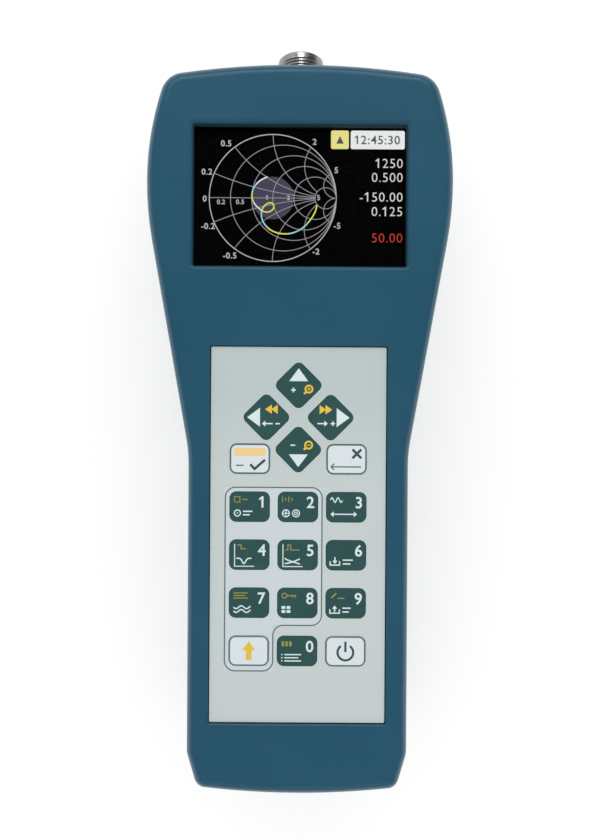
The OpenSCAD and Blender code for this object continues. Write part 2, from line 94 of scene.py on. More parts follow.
def to_range(tree, value, low, high, new_low, new_high):
    """A value brought from one range to another, and kept within it."""
    node = tree.nodes.new("ShaderNodeMapRange")
    for label, source in (
        ("Value", value), ("From Min", low), ("From Max", high),
        ("To Min", new_low), ("To Max", new_high)
    ):
        wire(tree, source, node.inputs[label])
    return node.outputs["Result"]


def mix_colour(tree, factor, a, b):
    """Colour a at factor 0, colour b at 1."""
    node = tree.nodes.new("ShaderNodeMix")
    node.data_type = "RGBA"
    for value, socket in zip((factor, a, b), (node.inputs[0], node.inputs[6], node.inputs[7])):
        wire(tree, value, socket)
    return node.outputs[2]


def white_rays(tree):
    """1 for the rays that see the white background: the camera's, and those off gloss or glass."""
    rays = tree.nodes.new("ShaderNodeLightPath")
    glossy = calc(
        tree, "MAXIMUM", rays.outputs["Is Glossy Ray"], rays.outputs["Is Transmission Ray"]
    )
    return rays.outputs["Is Camera Ray"], glossy


def hang_lamp(name, place, aim, wide, high, power):
    """A soft rectangular lamp, turned towards the point aim and not seen by the camera."""
    lamp_data = bpy.data.lights.new(name, "AREA")
    lamp_data.shape = "RECTANGLE"
    lamp_data.size = wide
    lamp_data.size_y = high
    lamp_data.energy = power
    lamp = bpy.data.objects.new(name, lamp_data)
    lamp.location = place
    lamp.rotation_euler = (Vector(aim) - Vector(place)).to_track_quat("-Z", "Y").to_euler()
    lamp.visible_camera = False
    scene.collection.objects.link(lamp)
    return lamp


floor_mesh = bpy.data.meshes.new("floor")
floor_mesh.from_pydata(
    [(x * floor_half, y * floor_half, floor_z) for x, y in ((-1, -1), (1, -1), (1, 1), (-1, 1))],
    [], [(0, 1, 2, 3)]
)
floor = bpy.data.objects.new("floor", floor_mesh)
scene.collection.objects.link(floor)
floor.visible_diffuse = False
floor.visible_shadow = False

floor_material = bpy.data.materials.new("floor")
floor_material.use_nodes = True
tree = floor_material.node_tree
tree.nodes.clear()
paper = tree.nodes.new("ShaderNodeBsdfDiffuse")
paper.inputs["Color"].default_value = (paper_tone, paper_tone, paper_tone, 1)
glow = tree.nodes.new("ShaderNodeEmission")
seen, glossy = white_rays(tree)
white = calc(tree, "MAXIMUM", seen, glossy)
wire(tree, calc(tree, "MULTIPLY", white, paper_glow), glow.inputs["Strength"])
both = tree.nodes.new("ShaderNodeAddShader")
wire(tree, paper.outputs[0], both.inputs[0])
wire(tree, glow.outputs[0], both.inputs[1])
clear = tree.nodes.new("ShaderNodeBsdfTransparent")
underside = tree.nodes.new("ShaderNodeMixShader")
wire(tree, tree.nodes.new("ShaderNodeNewGeometry").outputs["Backfacing"], underside.inputs[0])
wire(tree, both.outputs[0], underside.inputs[1])
wire(tree, clear.outputs[0], underside.inputs[2])
wire(tree, underside.outputs[0], tree.nodes.new("ShaderNodeOutputMaterial").inputs["Surface"])
floor_mesh.materials.append(floor_material)

world = bpy.data.worlds.new("studio")
world.use_nodes = True
scene.world = world
tree = world.node_tree
tree.nodes.clear()
room = tree.nodes.new("ShaderNodeBackground")
room.inputs["Color"].default_value = (1, 1, 1, 1)
backdrop = tree.nodes.new("ShaderNodeBackground")
backdrop.inputs["Color"].default_value = (1, 1, 1, 1)
direction = tree.nodes.new("ShaderNodeSeparateXYZ")
wire(tree, tree.nodes.new("ShaderNodeTexCoord").outputs["Generated"], direction.inputs[0])
height = direction.outputs["Z"]
wire(
    tree, to_range(tree, height, -horizon, horizon, room_below, room_above),
    room.inputs["Strength"]
)
ceiling = to_range(tree, height, 0.0, ceiling_from, 1.0, ceiling_dim)
seen, glossy = white_rays(tree)
wire(tree, calc(tree, "MAXIMUM", ceiling, seen), backdrop.inputs["Strength"])
blend = tree.nodes.new("ShaderNodeMixShader")
wire(tree, calc(tree, "MAXIMUM", seen, glossy), blend.inputs[0])
wire(tree, room.outputs[0], blend.inputs[1])
wire(tree, backdrop.outputs[0], blend.inputs[2])
wire(tree, blend.outputs[0], tree.nodes.new("ShaderNodeOutputWorld").inputs["Surface"])

for name, place, wide, high, power in (
    ("softbox_top", (-0.05, 0.683, 0.532), 0.9, 0.12, 1.5),
    ("softbox_bottom", (0, -0.748, 0.46), 0.9, 0.14, 0.35),
    ("softbox_small", (0.12, 0.57, 0.81), 0.46, 0.05, 0.06)
):
    hang_lamp(name, place, (0, 0, 0), wide, high, power)

# ---- Case shells ----
# Two injection-moulded shells of teal ABS, screwed together from the back, with the fine, even
# grain of a spark-eroded mould. The window's lip is rolled over. The walls of the window and
# of the keypad's recess have painted shade, darkest deep down, and are duller than the face.
mm = 0.001
lip_width = 0.6 * mm
lip_depth = 1.1 * mm
wall_depth = 3 * mm
pane_lap = 1.5 * mm
film_slack = 0.5 * mm
wall_dullness = 0.55
wall_shade_colour = (9, 56, 73)


def colour(red, green, blue):
    """A linear colour from the three values of a colour chart, 0 to 255."""
    def part(level):
        level /= 255
        return level / 12.92 if level <= 0.04045 else ((level + 0.055) / 1.055) ** 2.4
    return part(red), part(green), part(blue), 1


def shade(tint, share):
    """The same colour, lighter or darker."""
    return tint[0] * share, tint[1] * share, tint[2] * share, 1


def new_group(name, inputs, outputs):
    """A shader node group with its named sockets."""
    group = bpy.data.node_groups.new(name, "ShaderNodeTree")
    for label, kind, value in inputs:
        group.interface.new_socket(label, in_out="INPUT", socket_type=kind).default_value = value
    for label in outputs:
        group.interface.new_socket(label, in_out="OUTPUT", socket_type="NodeSocketFloat")
    return group, group.nodes.new("NodeGroupInput"), group.nodes.new("NodeGroupOutput")


skin_group, given, result = new_group(
    "surface_grain",
    [
        ("Grain Size", "NodeSocketFloat", 0.0004),
        ("Cloud Size", "NodeSocketFloat", 0.02),
        ("Stretch", "NodeSocketVector", (1, 1, 1))
    ],
    ["Grain", "Clouds"]
)
stretched = skin_group.nodes.new("ShaderNodeVectorMath")
stretched.operation = "MULTIPLY"
own_place = skin_group.nodes.new("ShaderNodeTexCoord").outputs["Object"]
wire(skin_group, own_place, stretched.inputs[0])
wire(skin_group, given.outputs["Stretch"], stretched.inputs[1])
for label, size, detail, low, high in (
    ("Grain", "Grain Size", 2, 0.25, 0.75), ("Clouds", "Cloud Size", 4, 0.3, 0.7)
):
    noise = skin_group.nodes.new("ShaderNodeTexNoise")
    noise.inputs["Detail"].default_value = detail
    wire(skin_group, stretched.outputs[0], noise.inputs["Vector"])
    scale = calc(skin_group, "DIVIDE", 1.0, given.outputs[size])
    wire(skin_group, scale, noise.inputs["Scale"])
    wire(
        skin_group, to_range(skin_group, noise.outputs["Fac"], low, high, 0.0, 1.0),
        result.inputs[label]
    )


def finish(
    name, tint, drift=0.06, rough=0.4, rough_drift=0.06, grain=0.0004, clouds=0.02,
    stretch=(1, 1, 1), relief=0.000008, **sockets
):
    """A material whose colour and gloss drift in soft clouds over a fine grain."""
    material = bpy.data.materials.new(name)
    material.use_nodes = True
    tree = material.node_tree
    shader = tree.nodes["Principled BSDF"]
    skin = tree.nodes.new("ShaderNodeGroup")
    skin.name = "grain"
    skin.node_tree = skin_group
    skin.inputs["Grain Size"].default_value = grain
    skin.inputs["Cloud Size"].default_value = clouds
    skin.inputs["Stretch"].default_value = stretch
    cloud = skin.outputs["Clouds"]
    wire(
        tree, mix_colour(tree, cloud, shade(tint, 1 - drift), shade(tint, 1 + drift)),
        shader.inputs["Base Color"]
    )
    wire(
        tree, to_range(tree, cloud, 0.0, 1.0, rough - rough_drift, rough + rough_drift),
        shader.inputs["Roughness"]
    )
    bump = tree.nodes.new("ShaderNodeBump")
    bump.inputs["Distance"].default_value = relief
    wire(tree, skin.outputs["Grain"], bump.inputs["Height"])
    wire(tree, bump.outputs["Normal"], shader.inputs["Normal"])
    for label, value in sockets.items():
        shader.inputs[label.replace("_", " ")].default_value = value
    return material


def dress(node, material, edge):
    """Gives a CAD node its material, and the small rounding that its edges have."""
    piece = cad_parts[node]
    piece.material_slots[0].material = material
    for polygon in piece.data.polygons:
        polygon.use_smooth = True
    weld = piece.modifiers.new("weld", "WELD")
    weld.merge_threshold = 0.00002
    flat = piece.modifiers.new("flat", "DECIMATE")
    flat.decimate_type = "DISSOLVE"
    flat.angle_limit = math.radians(0.4)
    if edge:
        bevel = piece.modifiers.new("edge", "BEVEL")
        bevel.width = edge
        bevel.segments = 2
        bevel.limit_method = "ANGLE"
        bevel.angle_limit = math.radians(35)
        bevel.use_clamp_overlap = True
    normals = piece.modifiers.new("normals", "WEIGHTED_NORMAL")
    normals.keep_sharp = False
    return piece


case_finish = finish(
    "teal_abs", colour(30, 84, 108), drift=0.05, rough=0.3, rough_drift=0.03, grain=0.00035,
    clouds=0.05, relief=0.000006, Specular_IOR_Level=0.4
)
front = dress("front_shell", case_finish, 0.0003)
window_low, window_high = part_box("display_window")
lip = front.vertex_groups.new(name="window_lip")
face_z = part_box("front_shell")[1].z
lip.add([
    v.index for v in front.data.vertices
    if v.co.z > face_z - lip_depth and window_low.x < v.co.x < window_high.x
    and window_low.y < v.co.y < window_high.y
], 1.0, "REPLACE")
roll = front.modifiers.new("lip", "BEVEL")
roll.width = lip_width
roll.use_clamp_overlap = False
roll.segments = 4
roll.limit_method = "VGROUP"
roll.vertex_group = "window_lip"
front.modifiers.move(len(front.modifiers) - 1, 2)


def object_place(tree):
    """Where a point of the surface lies, as a node with outputs X, Y and Z."""
    place = tree.nodes.new("ShaderNodeSeparateXYZ")
    wire(tree, tree.nodes.new("ShaderNodeTexCoord").outputs["Object"], place.inputs[0])
    return place


def opening_mask(tree, place, low, high, margin):
    """1 inside an opening of the front shell, down to the depth of its wall."""
    mask = calc(
        tree, "LESS_THAN", calc(tree, "ABSOLUTE", place.outputs["X"]), high.x + margin
    )
    for test, axis, limit in (
        ("GREATER_THAN", "Y", low.y - margin), ("LESS_THAN", "Y", high.y + margin),
        ("GREATER_THAN", "Z", face_z - wall_depth)
    ):
        mask = calc(tree, "MULTIPLY", mask, calc(tree, test, place.outputs[axis], limit))
    return mask


# Painted shade: the walls of the window and of the keypad's recess darken towards their depth, and
# are rougher too.
tree = case_finish.node_tree
place = object_place(tree)
openings = calc(
    tree, "MAXIMUM", opening_mask(tree, place, window_low, window_high, -pane_lap),
    opening_mask(tree, place, *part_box("keypad_overlay"), film_slack)
)
deep = to_range(tree, place.outputs["Z"], face_z - 0.3 * mm, face_z - mm, 0.0, 1.0)
painted_wall_shade = calc(tree, "MULTIPLY", openings, deep)
shader = tree.nodes["Principled BSDF"]
skin_colour = shader.inputs["Base Color"].links[0].from_socket
skin_gloss = shader.inputs["Roughness"].links[0].from_socket
wire(
    tree, mix_colour(tree, painted_wall_shade, skin_colour, colour(*wall_shade_colour)),
    shader.inputs["Base Color"]
)
wire(
    tree, calc(tree, "MULTIPLY_ADD", painted_wall_shade, wall_dullness, skin_gloss),
    shader.inputs["Roughness"]
)
dress("rear_shell", case_finish, 0.0003)

# ---- Battery cover ----
# A flat teal moulding with five finger ribs, let into the back of the grip. One screw holds
# its lower end.
dress("battery_cover", case_finish, 0.0002)

# ---- Display window ----
# A clear acrylic pane with an anti-reflection coating, taped under the window opening, with
# the faint film that fingers leave.
pane_finish = finish(
    "coated_acrylic", (0.93, 0.95, 0.96, 1), drift=0.02, rough=0.03, rough_drift=0.02, grain=0.003,
    clouds=0.015, relief=0.0000005, IOR=1.15, Transmission_Weight=1.0
)
dress("display_window", pane_finish, 0.0001)

# ---- Display gasket ----
# A ring of black foam, cut from sheet and stuck between the pane and the panel. It keeps dust
# out of the window.
dress(
    "display_gasket",
    finish("black_foam", colour(28, 28, 28), rough=0.9, grain=0.0006, relief=0.00004), 0
)

# ---- LCD panel ----
# A colour panel under black glass. It shows a circular impedance chart with a measured curve,
# two tabs and a column of readings, each mark a thin lit layer on the glass.
panel_finish = finish(
    "panel_glass", (0.0017, 0.0016, 0.0016, 1), drift=0.2, rough=0.12, rough_drift=0.02,
    grain=0.0002, clouds=0.01, relief=0.0000004, IOR=1.2
)
dress("lcd_panel", panel_finish, 0.0001)
panel_low, panel_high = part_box("lcd_panel")
panel_top = panel_high.z
panel_mid = (panel_low + panel_high) / 2
pixel = 0.2 * mm
ink = 0.02 * mm
rim_line, grid_line, curve_line = 0.245 * mm, 0.17 * mm, 0.42 * mm
typeface_cap = 0.7
digits_made = {}


def lit(name, tint):
    """Light of one colour behind the pixel grid of the panel."""
    material = bpy.data.materials.new(name)
    material.use_nodes = True
    tree = material.node_tree
    shader = tree.nodes["Principled BSDF"]
    shader.inputs["Roughness"].default_value = 0.12
    shader.inputs["IOR"].default_value = 1.2
    shader.inputs["Base Color"].default_value = (0.002, 0.002, 0.002, 1)
    shader.inputs["Emission Strength"].default_value = 1
    pixels = tree.nodes.new("ShaderNodeTexBrick")
    pixels.offset = 0
    pixels.inputs["Scale"].default_value = 1 / pixel
    pixels.inputs["Brick Width"].default_value = 1
    pixels.inputs["Row Height"].default_value = 1
    pixels.inputs["Mortar Size"].default_value = 0.1
    pixels.inputs["Color1"].default_value = tint
    pixels.inputs["Color2"].default_value = tint
    pixels.inputs["Mortar"].default_value = shade(tint, 0.7)
    wire(tree, tree.nodes.new("ShaderNodeTexCoord").outputs["Object"], pixels.inputs["Vector"])
    wire(tree, pixels.outputs["Color"], shader.inputs["Emission Color"])
    return material


def add_plate(mesh, points, z):
    """A plate as thin as ink with the given outline, anticlockwise, in metres."""
    low = [mesh.verts.new((x, y, z - ink / 2)) for x, y in points]
    high = [mesh.verts.new((x, y, z + ink)) for x, y in points]
    mesh.faces.new(high)
    mesh.faces.new(low[::-1])
    for i in range(len(points)):
        j = (i + 1) % len(points)
        mesh.faces.new((low[i], low[j], high[j], high[i]))


def add_stroke(mesh, points, width, z, closed=False):
    """A ribbon of even width, as thin as ink, along a line of points, in metres."""
    sharpest = 0.4
    n = len(points)
    rows = []
    for i, point in enumerate(points):
        here = Vector(point)
        before = Vector(points[i - 1]) if i or closed else None
        after = Vector(points[(i + 1) % n]) if i < n - 1 or closed else None
        a = (here - before).normalized() if before else (after - here).normalized()
        b = (after - here).normalized() if after else a
        across = Vector((-a.y - b.y, a.x + b.x)).normalized()
        across /= max(sharpest, abs(across.dot(Vector((-a.y, a.x)))))
        low, high = z - ink / 2, z + ink
        row = []
        for side, height in ((1, low), (-1, low), (-1, high), (1, high)):
            corner = here + across * side * width / 2
            row.append(mesh.verts.new((corner.x, corner.y, height)))
        rows.append(row)
    for i in range(n if closed else n - 1):
        a, b = rows[i], rows[(i + 1) % n]
        for k in range(4):
            m = (k + 1) % 4
            mesh.faces.new((a[k], a[m], b[m], b[k]))
    if not closed:
        mesh.faces.new(rows[0][::-1])
        mesh.faces.new(rows[-1])


def digit_shape(mark, bold):
    """Corners and faces of one figure, 1 high: the 1 drawn here, the rest in Blender's type."""
    if (mark, bold) in digits_made:
        return digits_made[mark, bold]
    if mark == "1":
        stem = 0.42
        half = 0.075 + bold
        outline = [
            (stem - half, 0), (stem + half, 0), (stem + half, 1), (stem + 0.03 - half, 1),
            (0.12, 0.8 + bold), (0.12, 0.66 - bold), (stem - half, 0.79)
        ]
        corners = [Vector((x, y, z)) for z in (0, 1) for x, y in outline]
        n = len(outline)
        faces = [list(range(n))[::-1], list(range(n, 2 * n))]
        faces += [[i, (i + 1) % n, (i + 1) % n + n, i + n] for i in range(n)]
    else:
        curve = bpy.data.curves.new("digits", "FONT")
        curve.body = mark
        curve.extrude = 0.5
        curve.offset = bold
        curve.resolution_u = 3
        holder = bpy.data.objects.new("digits", curve)
        solid = bpy.data.meshes.new_from_object(holder)
        cleaner = bmesh.new()
        cleaner.from_mesh(solid)
        bmesh.ops.remove_doubles(cleaner, verts=cleaner.verts, dist=0.0005)
        left = min(v.co.x for v in cleaner.verts)
        right = max(v.co.x for v in cleaner.verts)
        shift = digit_cell(mark) / 2 - (left + right) / 2 / typeface_cap
        corners = [
            Vector((v.co.x / typeface_cap + shift, v.co.y / typeface_cap, v.co.z + 0.5))
            for v in cleaner.verts
        ]
        faces = [[v.index for v in f.verts] for f in cleaner.faces]
        cleaner.free()
        bpy.data.objects.remove(holder)
        bpy.data.curves.remove(curve)
        bpy.data.meshes.remove(solid)
    digits_made[mark, bold] = corners, faces
    return corners, faces


def digit_cell(mark):
    """Room for one figure in a line, for a height of 1."""
    return {".": 0.36, ":": 0.4, "-": 0.5}.get(mark, 0.78)


def add_digits(mesh, text, x, y, cap, z, align=0.5, bold=0.0):
    """Digits of that cap height. align says which share of their width lies left of x."""
    at = x - align * sum(digit_cell(mark) for mark in text) * cap
    for mark in text:
        corners, faces = digit_shape(mark, bold)
        verts = [
            mesh.verts.new((at + c.x * cap, y + (c.y - 0.5) * cap, z - ink / 2 + c.z * ink * 1.5))
            for c in corners
        ]
        for face in faces:
            mesh.faces.new([verts[i] for i in face])
        at += digit_cell(mark) * cap


def rounded_box(x0, y0, x1, y1, r, steps=6):
    """Points round a box with rounded corners, anticlockwise."""
    points = []
    for cx, cy, start in (
        (x1 - r, y0 + r, -90), (x1 - r, y1 - r, 0), (x0 + r, y1 - r, 90), (x0 + r, y0 + r, 180)
    ):
        for i in range(steps + 1):
            a = math.radians(start + 90 * i / steps)
            points.append((cx + r * math.cos(a), cy + r * math.sin(a)))
    return points


def circle(x, y, r, steps=64, start=0.0, end=360.0):
    """Points round a circle; the last one is left out where it meets the first."""
    n = steps if end - start < 360 else steps - 1
    angles = [math.radians(start + (end - start) * i / steps) for i in range(n + 1)]
    return [(x + r * math.cos(angle), y + r * math.sin(angle)) for angle in angles]


def make_piece(name, mesh, material, body):
    """A piece of its own from a finished mesh, riding on that body."""
    bmesh.ops.recalc_face_normals(mesh, faces=mesh.faces)
    data = bpy.data.meshes.new(name)
    mesh.to_mesh(data)
    mesh.free()
    data.materials.append(material)
    piece = bpy.data.objects.new(name, data)
    scene.collection.objects.link(piece)
    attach(piece, body)
    return piece


chart_mid = (panel_mid.x - 8.75 * mm, panel_mid.y + 0.3 * mm)
chart_r = 20.45 * mm


def chart_point(r, x):
    """Where an impedance r + jx lies on the chart."""
    g = (complex(r, x) - 1) / (complex(r, x) + 1)
    return chart_mid[0] + chart_r * g.real, chart_mid[1] + chart_r * g.imag


match_zone = bmesh.new()
add_plate(match_zone, circle(*chart_mid, 6.85 * mm), panel_top)
make_piece("chart_match_zone", match_zone, lit("lit_violet", colour(75, 72, 90)), "case")

line_z = panel_top + ink
rim = bmesh.new()
add_stroke(rim, circle(*chart_mid, chart_r, 128), rim_line, line_z, closed=True)
make_piece("chart_rim", rim, lit("lit_rim", colour(212, 210, 216)), "case")

# Circles of equal resistance, then arcs of equal reactance, which stop at the circle of the
# highest resistance, all but the last
grid = bmesh.new()
levels = (0.2, 0.5, 1, 2, 5)
arc_steps, crowding = 40, 2.2
for r in levels:
    add_stroke(
        grid, circle(chart_mid[0] + chart_r * r / (1 + r), chart_mid[1], chart_r / (1 + r), 96),
        grid_line, line_z, closed=True
    )
for x in levels:
    last = levels[-1] if x < levels[-1] else 90
    for sign in (-1, 1):
        line = [
            chart_point(last * (i / arc_steps) ** crowding, sign * x)
            for i in range(arc_steps + 1)
        ]
        add_stroke(grid, line, grid_line, line_z)
add_stroke(grid, [chart_point(0, 0), chart_point(5, 0)], grid_line, line_z)
make_piece("chart_grid", grid, lit("lit_grid", colour(182, 176, 181)), "case")

figures = bmesh.new()
for text, x, y, cap in (
    ("0.5", -23.83, 17.8, 1.9), ("2", 4.62, 18.47, 1.9), ("0.2", -30.0, 8.65, 1.9),
    ("5", 11.65, 9.37, 1.9), ("0", -30.65, 0.0, 1.9), ("-0.2", -29.53, -8.85, 1.9),
    ("-5", 12.03, -8.53, 1.9), ("-0.5", -22.47, -18.3, 1.9), ("-2", 5.29, -16.85, 1.9),
    ("0.2", -25.4, -1.05, 1.45), ("0.5", -19.25, -1.0, 1.45), ("1", -10.6, 0.4, 1.45),
    ("2", -3.7, 0.4, 1.45), ("5", 6.0, 0.5, 1.6)
):
    add_digits(
        figures, text, panel_mid.x + x * mm, panel_mid.y + y * mm, cap * mm, line_z + ink,
        bold=0.012
    )
make_piece("chart_figures", figures, lit("lit_figures", colour(205, 203, 208)), "case")

# The measured curve, in millimetres from the chart's middle. It falls on the left, makes a
# small loop and ends in a wide sweep, as runs of white, cyan and yellow.
path = [
    (-1.7, 6.8), (-4.3, 5.4), (-6.2, 3.1), (-6.7, 0.4), (-5.9, -1.8), (-4.4, -3.4), (-2.9, -4.4),
    (-1.2, -4.5), (0.1, -3.6), (0.35, -2.5), (-0.4, -1.6), (-1.7, -1.8), (-3.0, -3.0),
    (-3.6, -4.7), (-3.5, -6.4), (-2.7, -8.3), (-1.1, -10.0), (1.1, -11.1), (3.6, -11.55),
    (6.2, -11.3), (8.6, -10.3), (10.7, -8.7), (12.5, -6.5), (13.8, -4.1), (14.25, -2.0)
]
sweep = []
for i in range(len(path) - 1):
    p0, p1, p2, p3 = (Vector(path[min(max(i + k, 0), len(path) - 1)]) for k in (-1, 0, 1, 2))
    for k in range(6):
        t = k / 6
        point = p1 + (p2 - p0) * t / 2 + (p0 * 2 - p1 * 5 + p2 * 4 - p3) * t * t / 2
        point += (p1 * 3 - p0 - p2 * 3 + p3) * t ** 3 / 2
        sweep.append((chart_mid[0] + point.x * mm, chart_mid[1] + point.y * mm))
runs = (
    ("white", 0, 9), ("cyan", 9, 15), ("yellow", 15, 23), ("white", 23, 34), ("yellow", 34, 76),
    ("cyan", 76, 94), ("yellow", 94, 112), ("cyan", 112, 129), ("yellow", 129, 144)
)
for name, tint in (
    ("white", colour(238, 240, 240)), ("cyan", colour(160, 226, 232)),
    ("yellow", colour(238, 234, 96))
):
    curve = bmesh.new()
    for run, first, last in runs:
        if run == name:
            add_stroke(curve, sweep[first:last + 1], curve_line, line_z + 2 * ink)
    make_piece("chart_curve_" + name, curve, lit("lit_curve_" + name, tint), "case")

# Two tabs above the readings: a triangle on a yellow one and a time of day on a white one.
tab_low, tab_high, tab_corner = 16.2, 22.15, 0.6
for name, tab_left, tab_right, tint in (
    ("yellow", 9.9, 15.65, colour(248, 239, 147)), ("white", 16.25, 33.65, colour(250, 250, 250))
):
    tab = bmesh.new()
    outline = rounded_box(
        panel_mid.x + tab_left * mm, panel_mid.y + tab_low * mm,
        panel_mid.x + tab_right * mm, panel_mid.y + tab_high * mm, tab_corner * mm
    )
    add_plate(tab, outline, panel_top)
    make_piece("tab_" + name, tab, lit("lit_" + name, tint), "case")
marks = bmesh.new()
add_digits(
    marks, "12:45:30", panel_mid.x + 24.75 * mm, panel_mid.y + 19.2 * mm, 2.75 * mm, line_z,
    bold=0.01
)
triangle = ((11.6, 17.9), (14.0, 17.9), (12.8, 20.4))
add_plate(marks, [(panel_mid.x + x * mm, panel_mid.y + y * mm) for x, y in triangle], line_z)
make_piece("tab_marks", marks, lit("lit_grey", colour(95, 92, 90)), "case")

reading_right = panel_mid.x + 33.3 * mm
reading_cap = 3.0 * mm
readings = bmesh.new()
for text, y in (("1250", 11.7), ("0.500", 7.17), ("-150.00", 0.83), ("0.125", -3.81)):
    add_digits(
        readings, text, reading_right, panel_mid.y + y * mm, reading_cap, line_z, align=1.0,
        bold=-0.008
    )
make_piece("readings", readings, lit("lit_readings", colour(232, 230, 226)), "case")
reading = bmesh.new()
add_digits(
    reading, "50.00", reading_right, panel_mid.y - 12.31 * mm, reading_cap, line_z, align=1.0,
    bold=-0.012
)
make_piece("reading_red", reading, lit("lit_red", colour(206, 74, 52)), "case")

# ---- LCD tray and ribbons ----
# The panel sits in an aluminium tray. Flat cables with copper tracks join the panel and the
# key board to the main board.
dress(
    "lcd_frame",
    finish("tray_aluminium", colour(208, 211, 213), rough=0.35, stretch=(1, 12, 1), Metallic=1.0),
    0.0002
)
ribbon_finish = finish(
    "copper_ribbon", colour(196, 132, 48), rough=0.35, grain=0.0005, stretch=(8, 1, 1),
    relief=0.00001
)
for node in ("display_ribbon", "key_ribbon"):
    dress(node, ribbon_finish, 0)

# ---- Boards, can and sounder ----
# Two green fibreglass boards, a tinplate can over the radio circuit and a black sounder. The
# lower board carries the keys' domes.
board_finish = finish(
    "solder_mask", colour(28, 98, 56), drift=0.25, rough=0.4, grain=0.0012, clouds=0.004,
    stretch=(1, 3, 1), relief=0.00002
)
dress("main_board", board_finish, 0.0001)
dress("key_board", board_finish, 0.0001)
dress(
    "rf_shield",
    finish("tinplate", colour(214, 216, 218), rough=0.3, stretch=(14, 1, 1), Metallic=1.0), 0.0002
)
dress("sounder", finish("black_plastic", colour(34, 34, 35), rough=0.5), 0.0002)

# ---- Antenna jack ----
# A nickel-plated brass socket, turned on a lathe, with a fine screw thread that takes the
# plug's nut. Its square flange and block sit inside the case. Two small lamps shine on the
# turned metal alone and give it the bright streaks of a studio shot.
jack_low, jack_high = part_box("jack_body")
jack_z = 24 * mm
tip_y = jack_high.y
barrel_r = 7.94 * mm
bore_r = 4.2 * mm
mouth_chamfer = 0.5 * mm
root_r = barrel_r - 0.25 * mm
pitch = 1.058 * mm
thread_end = tip_y - 1.7 * mm
thread_start = tip_y - 11.7 * mm
flange_back = tip_y - 19.2 * mm
flange_thick = 2.5 * mm
flange_half = 10.5 * mm
block_half = 8 * mm
block_length = 10 * mm
block_edge = 0.5 * mm
bore_end = tip_y - 22 * mm
around = 96
per_turn = 10
rim_profile = ((0, 0.3), (0.05, 0.24), (0.25, 0.04), (0.3, 0), (0.5, 0), (1.4, 0))

turned = bmesh.new()


def add_ring(y, radius_at):
    """A ring of corners round the jack's axis; the radius may change with the share of a turn."""
    ring = []
    for i in range(around):
        r, angle = radius_at(i / around), 2 * math.pi * i / around
        ring.append(turned.verts.new((r * math.cos(angle), y, jack_z + r * math.sin(angle))))
    return ring


def thread_radius(y, share):
    """A 60 degree thread with flat crests and a rounded root, running out at both ends."""
    phase = ((y - thread_start) / pitch + share) % 1
    wave = abs(2 * phase - 1)
    depth = min(1, max(0, 1.45 * wave - 0.28))
    ends = min(1, max(0, (y - thread_start) / pitch), max(0, (thread_end - y) / pitch) + 0.15)
    return barrel_r - (barrel_r - root_r) * depth * ends


rings = [
    add_ring(bore_end, lambda s: bore_r), add_ring(tip_y - mouth_chamfer, lambda s: bore_r)
]
rings.append(add_ring(tip_y, lambda s: bore_r + mouth_chamfer))
for back, inset in rim_profile:
    rings.append(add_ring(tip_y - back * mm, lambda s, inset=inset: barrel_r - inset * mm))
rings.append(add_ring(thread_end, lambda s: thread_radius(thread_end, s)))
steps = int((thread_end - thread_start) / pitch * per_turn)
for k in range(1, steps + 1):
    y = thread_end - (thread_end - thread_start) * k / steps
    rings.append(add_ring(y, lambda s, y=y: thread_radius(y, s)))
rings.append(add_ring(thread_start - 0.1 * mm, lambda s: root_r))
rings.append(add_ring(bore_end, lambda s: root_r))
for a, b in zip(rings, rings[1:] + rings[:1]):
    for i in range(around):
        j = (i + 1) % around
        turned.faces.new((a[i], a[j], b[j], b[i]))

jack_finish = finish(
    "nickel_plate", colour(152, 151, 148), drift=0.03, rough=0.3, rough_drift=0.03, grain=0.0002,
    clouds=0.004, stretch=(1, 6, 1), relief=0.000002, Metallic=1.0
)
jack = make_piece("jack_turned", turned, jack_finish, "case")
for polygon in jack.data.polygons:
    polygon.use_smooth = True
flange = bmesh.new()
for half_x, half_z, y0, y1 in (
    ((jack_high.x - jack_low.x) / 2, flange_half, flange_back, flange_back + flange_thick),
    (block_half, block_half, flange_back - block_length, flange_back)
):
    corners = bmesh.ops.create_cube(flange, size=1)["verts"]
    for v in corners:
        v.co = Vector((
            v.co.x * 2 * half_x, (y0 + y1) / 2 + v.co.y * (y1 - y0), jack_z + v.co.z * 2 * half_z
        ))
    bmesh.ops.bevel(
        flange, geom=list({e for v in corners for e in v.link_edges}), offset=block_edge,
        segments=2, affect="EDGES"
    )
make_piece("jack_flange", flange, jack_finish, "case")
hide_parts("jack_body")
metal_group = bpy.data.collections.new("jack_light")
metal_group.objects.link(jack)
for name, place, wide, high, power in (
    ("softbox_jack", (0.004, 0.355, 0.47), 0.13, 0.3, 1.5),
    ("softbox_side", (-0.42, 0.3, 0.3), 0.4, 0.4, 0.5)
):
    lamp = hang_lamp(name, place, (0, tip_y, jack_z), wide, high, power)
    lamp.light_linking.receiver_collection = metal_group
dress("jack_insulator", finish("ptfe", colour(240, 238, 232), drift=0.02, rough=0.45), 0.0002)
dress(
    "jack_contact",
    finish("gold_plate", colour(226, 178, 80), rough=0.22, Metallic=1.0, relief=0.000002), 0.0001
)

# ---- Keypad film ----
# One sheet of polyester with a velvet finish, printed on its back in pale grey-green, with an
# opening for every key. A fine line rings the keys that belong together.
film_low, film_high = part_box("keypad_overlay")
film_mid = (film_low + film_high) / 2
film_finish = finish(
    "velvet_film", colour(200, 210, 209), drift=0.012, rough=0.5, grain=0.00025, clouds=0.05,
    relief=0.000004
)
dress("keypad_overlay", film_finish, 0.00008)
# The ringed area, an L on its head, in millimetres from the film's middle
left, right, step_x = -23.0, 7.65, -7.7
top, step_y, bottom = 14.94, -28.7, -43.2
zone_corner = 3.2
print_line = 0.38


